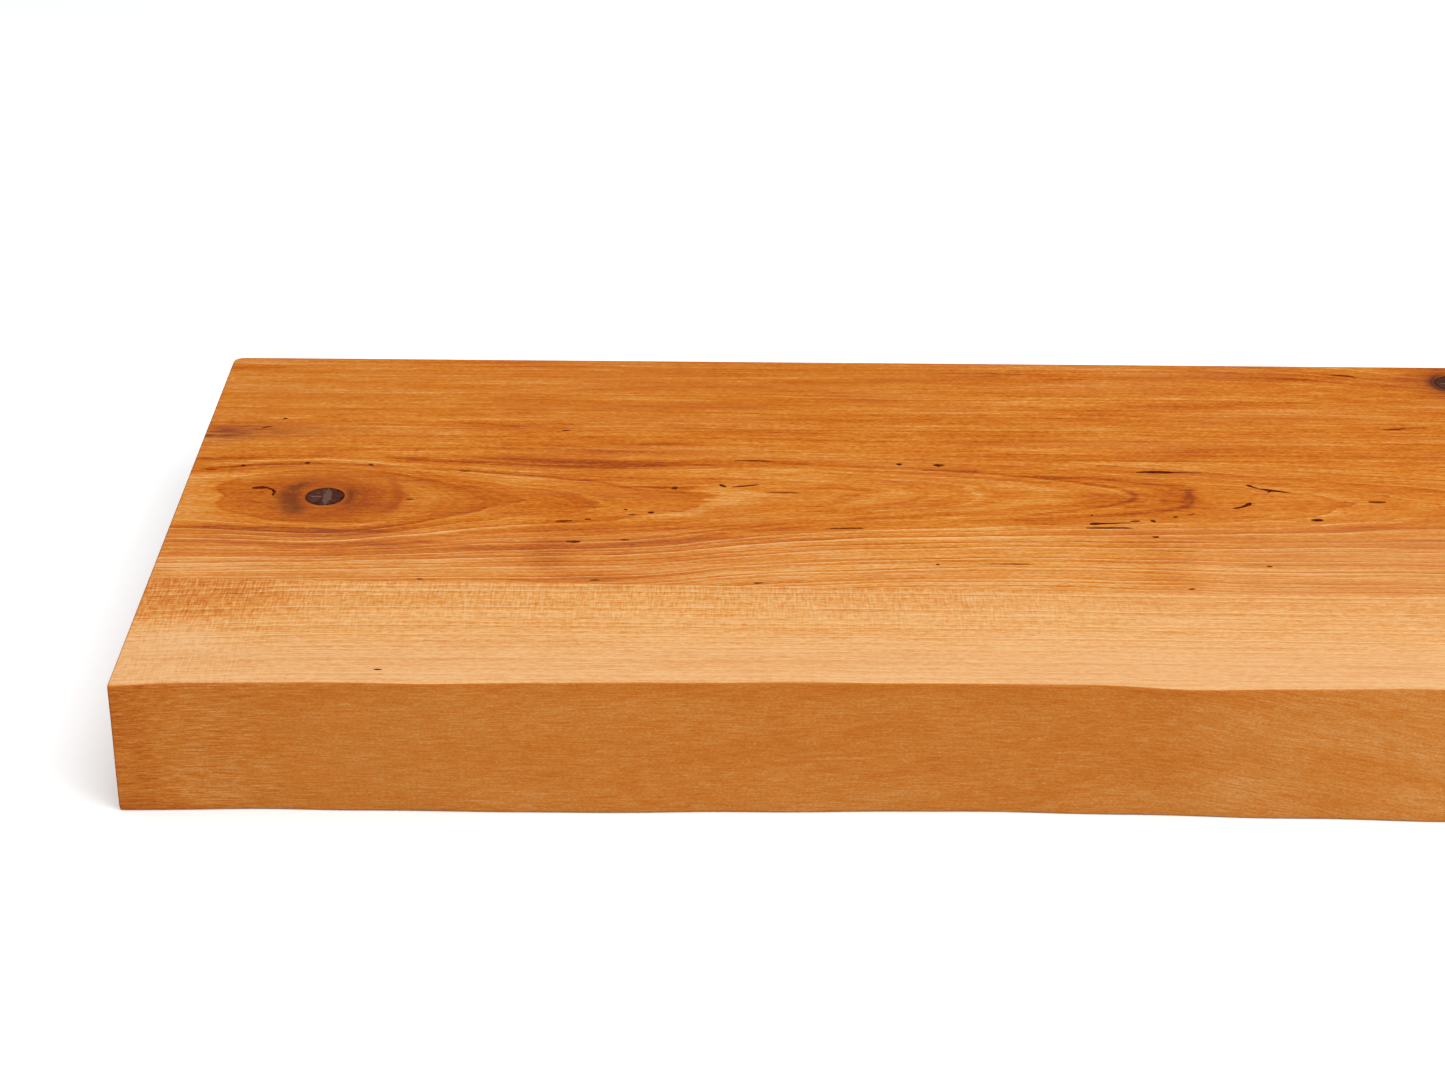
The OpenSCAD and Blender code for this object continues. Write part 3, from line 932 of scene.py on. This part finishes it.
# Gum pockets in the top face, each a stroke through (x, y, half width) points in mm
GUM_STROKES = [
    # round the left knot
    [(-430, 14.4, 0.4), (-428, 14.6, 0.9), (-425.5, 15, 0.9), (-423.5, 14.6, 0.5), (-421.5, 13.2, 0.5),
     (-420.4, 11, 0.6), (-420.8, 8, 0.3)],
    [(-368, 5.6, 0.2), (-366.3, 5.7, 0.45), (-364.6, 5.7, 0.2)],
    [(-437.6, 34.3, 0.3), (-436.5, 34.5, 0.9), (-435.5, 34.5, 0.3)],
    [(-412.3, 37.2, 0.3), (-411, 37.4, 0.8), (-409.8, 37.2, 0.3)],
    [(-386.3, 36.3, 0.3), (-385, 36.2, 0.7), (-384, 35.6, 0.2)],
    [(-349, 31.3, 0.2), (-347, 31.2, 0.6), (-344.2, 31.4, 0.2)],
    [(-451, 30.3, 0.2), (-449, 30.5, 0.4), (-446.5, 31, 0.2)],
    # between the left knot and the arches
    [(-308, -12, 0.3), (-305, -11.8, 0.7), (-301.5, -11.2, 0.3)],
    [(-303, -28.9, 0.2), (-300, -29, 0.8), (-297.5, -28.8, 0.4)],
    [(-357.2, -59.7, 0.2), (-356, -59.8, 0.5), (-354.8, -59.8, 0.2)],
    [(-238.5, 42.7, 0.15), (-234, 42.8, 0.45), (-228, 42.7, 0.6), (-225, 42.5, 0.4), (-222.5, 42.6, 0.1)],
    [(-263.5, 17.2, 0.4), (-262.2, 17.5, 1.1), (-261, 17.9, 0.4)],
    [(-244.4, 21, 0.3), (-243.3, 20, 0.8), (-241.8, 19, 0.4)],
    [(-239.2, 19, 0.3), (-235.5, 19.6, 0.5), (-231, 20.6, 0.5), (-228.5, 21.5, 0.15)],
    [(-226, 14.6, 0.15), (-221, 14.3, 0.35), (-216, 14.2, 0.35), (-212, 14.2, 0.1)],
    [(-281.8, -1.5, 0.2), (-281, -1.6, 0.5), (-280.2, -1.6, 0.2)],
    [(-272.3, -4.1, 0.3), (-271, -4, 0.8), (-269.8, -3.7, 0.3)],
    [(-279.8, -6.2, 0.2), (-278.5, -6, 0.5), (-276.8, -5.5, 0.15)],
    [(-296.7, -10.2, 0.3), (-295.5, -10.1, 0.6), (-294.3, -10.2, 0.3)],
    [(-282.5, -27, 0.2), (-280.7, -27, 0.7), (-278.9, -27.1, 0.3)],
    [(-203, -16.5, 0.1), (-199, -16.2, 0.45), (-193, -15.9, 0.5), (-189.5, -15.8, 0.5),
     (-188.6, -15.9, 0.15)],
    [(-292.5, -59.7, 0.2), (-290.5, -59.5, 0.5), (-288.8, -59.2, 0.2)],
    [(-231.3, -60.8, 0.2), (-230, -60.8, 0.6), (-227.5, -60.5, 0.1)],
    [(-162.3, -45.1, 0.2), (-161.5, -45, 0.5), (-160.7, -44.9, 0.2)],
    [(-146, -44.3, 0.1), (-140, -44.1, 0.25), (-134, -44, 0.35), (-129, -44, 0.35), (-126.5, -44.1, 0.1)],
    [(-173, 40.9, 0.3), (-171.6, 40.5, 0.9), (-170.4, 40.8, 0.2)],
    [(-158, 40.3, 0.3), (-156, 39.9, 1.1), (-154, 40.2, 0.5), (-153, 40.3, 0.1)],
    # round the tips of the arches
    [(-76.5, 35.1, 0.2), (-73, 35.3, 0.7), (-68.5, 35.4, 1), (-64, 35.2, 0.9), (-61, 35.1, 0.4),
     (-56, 35.1, 0.2), (-50, 34.9, 0.1)],
    [(-33.6, 24.4, 0.3), (-32.6, 23.7, 0.7), (-31.2, 22.6, 0.5), (-29.2, 21.4, 0.2), (-27.5, 20.7, 0.5),
     (-26, 20, 0.9), (-24.3, 19.6, 0.7), (-21.5, 19, 0.5), (-19, 18.2, 0.35), (-17.2, 17.6, 0.15)],
    [(-24.6, 19.9, 0.3), (-25.4, 18.7, 0.5), (-26.1, 17.6, 0.15)],
    [(-42.3, 3.9, 0.2), (-40.5, 4.1, 0.5), (-38.6, 4.9, 0.5), (-36.8, 6.2, 0.7), (-35.3, 7.6, 0.95),
     (-34.4, 8.8, 0.4)],
    [(12.4, 10.3, 0.4), (14.5, 10.2, 0.7), (17, 10.2, 0.7), (19.2, 10.3, 0.35)],
    [(-13.2, -5.6, 0.3), (-11.4, -5.8, 0.9), (-9.6, -5.6, 0.8), (-8.4, -5.5, 0.3)],
    [(-61.2, -2.3, 0.2), (-59.8, -2, 0.4), (-58, -1.2, 0.25)],
    [(-67, -4.3, 0.3), (-66, -4, 0.6), (-64.9, -3.5, 0.25)],
    [(-76.3, -7.3, 0.3), (-75.2, -7.5, 0.8), (-74.1, -8.4, 0.3)],
    [(-84.2, -8.3, 0.3), (-82, -7.9, 0.7), (-80.2, -7.6, 0.35)],
    [(-100.2, -10.5, 0.5), (-98.5, -10.4, 0.9), (-95.5, -10.1, 0.6), (-92, -10, 0.4), (-84.5, -9.2, 0.15)],
    [(-102, -14, 0.3), (-98, -13.9, 0.6), (-92, -13.8, 0.6), (-86, -13.7, 0.5), (-83.5, -13.9, 0.15)],
    [(-99.1, -3.4, 0.2), (-98.5, -3.1, 0.5), (-98, -3.1, 0.2)],
    [(-77.3, -20.9, 0.3), (-76, -21.1, 0.7), (-74.6, -20.8, 0.3)],
    [(-37.1, -44.2, 0.3), (-36, -44.2, 0.6), (-34.9, -44.3, 0.25)],
    [(-69.3, -62.8, 0.2), (-68, -62.6, 0.5), (-66.8, -62.5, 0.2)],
    # on the back board and on the pale one
    [(-434.5, 69.5, 0.2), (-432.5, 70.6, 0.5), (-430, 72, 0.2)],
    [(-426.8, 78.6, 0.3), (-425.8, 79.2, 0.6), (-425, 79.4, 0.2)],
    [(-310, 69.6, 0.2), (-308.3, 69.8, 0.5), (-306.5, 69.9, 0.2)],
    [(20, 132, 0.2), (24, 131.6, 0.6), (28, 131, 0.7), (31, 130, 0.2)],
    [(32, 76.9, 0.2), (37, 77.6, 0.5), (42, 78.4, 0.2)],
    [(-365.5, -126.4, 0.2), (-364, -126.5, 0.5), (-362.5, -126.6, 0.2)],
]


# A pocket whose half width reaches this many mm is dark with gum
WIDE_GUM = 0.8
# The pockets are this many times as wide as their strokes
GUM_SWELL = 1.2
GUM_DEEP = 0.4 * MM


def make_gum(name, strokes, paler):
    """Gum pockets as one piece of thin flat lenses, let into the boards."""
    mesh = bmesh.new()
    bottom = TOP_Z - GUM_DEEP
    for stroke in strokes:
        points = np.array(stroke) * MM
        run = np.gradient(points[:, :2], axis=0)
        aside = np.stack([-run[:, 1], run[:, 0]], 1) / np.linalg.norm(run, axis=1)[:, None]
        # Each section is a small rectangle: left and right at the top, then right and left below
        sections = []
        for (x, y, half), (across_x, across_y) in zip(points, aside * GUM_SWELL):
            left = (x + across_x * half, y + across_y * half)
            right = (x - across_x * half, y - across_y * half)
            corners = ((*left, TOP_Z), (*right, TOP_Z), (*right, bottom), (*left, bottom))
            sections.append([mesh.verts.new(corner) for corner in corners])
        for section, following in zip(sections, sections[1:]):
            for i in range(4):
                j = (i + 1) % 4
                mesh.faces.new((section[i], section[j], following[j], following[i]))
        mesh.faces.new(reversed(sections[0]))
        mesh.faces.new(sections[-1])
    bmesh.ops.recalc_face_normals(mesh, faces=mesh.faces)
    piece = object_from(mesh, name)
    piece.data.materials.append(gum(name + "_gum", paler))
    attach(piece, BODY)


def dress_hidden_nodes():
    """The loose tenons and the inserts keep their CAD shape."""
    beech = plain_wood("beech", (214, 176, 128))
    brass = turned_brass()
    for name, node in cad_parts.items():
        if "_tenon_" in name or "_insert_" in name:
            node.data.materials.clear()
            node.data.materials.append(beech if "_tenon_" in name else brass)


# ---------------------------------------------------------------- studio
FLOOR_REACH = 6.0
# Just far enough below the underside that the two don't flicker
FLOOR_Z = -0.05 * MM


def make_floor():
    mesh = bmesh.new()
    sides = ((-1, -1), (1, -1), (1, 1), (-1, 1))
    mesh.faces.new([mesh.verts.new((FLOOR_REACH * x, FLOOR_REACH * y, FLOOR_Z)) for x, y in sides])
    floor = object_from(mesh, "floor")
    material = bpy.data.materials.new("pale_floor")
    material.use_nodes = True
    shader = material.node_tree.nodes["Principled BSDF"]
    shader.inputs["Base Color"].default_value = (0.77, 0.78, 0.78, 1)
    shader.inputs["Roughness"].default_value = 0.9
    shader.inputs["Specular IOR Level"].default_value = 0.1
    floor.data.materials.append(material)


def area_light(name, at, towards, size, power):
    data = bpy.data.lights.new(name, "AREA")
    data.shape = "SQUARE"
    data.size = size
    data.energy = power
    light = bpy.data.objects.new(name, data)
    away = Matrix.Translation(at).to_translation() - Matrix.Translation(towards).to_translation()
    light.location = at
    light.rotation_mode = "QUATERNION"
    light.rotation_quaternion = away.to_track_quat("Z", "Y")
    bpy.context.scene.collection.objects.link(light)


def make_studio():
    make_floor()
    middle = (-0.2, 0, 0)
    area_light("overhead", (-0.2, -0.4, 2.0), middle, 2.6, 54)
    # 41 degrees up, from the front and right of the view
    area_light("key", (1.05, -0.85, 1.25), middle, 1.0, 15)
    world = bpy.data.worlds.new("studio")
    bpy.context.scene.world = world
    world.use_nodes = True
    background = world.node_tree.nodes["Background"]
    background.inputs["Color"].default_value = (1, 1, 1, 1)
    background.inputs["Strength"].default_value = 0.6
    bpy.context.scene.view_settings.view_transform = "Standard"
    bpy.context.scene.view_settings.look = "None"


make_camera()
make_boards()
make_knots()
wide = [stroke for stroke in GUM_STROKES if max(half for _, _, half in stroke) >= WIDE_GUM]
thin = [stroke for stroke in GUM_STROKES if stroke not in wide]
make_gum("gum_pockets", wide, 0)
make_gum("gum_streaks", thin, 0.5)
dress_hidden_nodes()
make_studio()
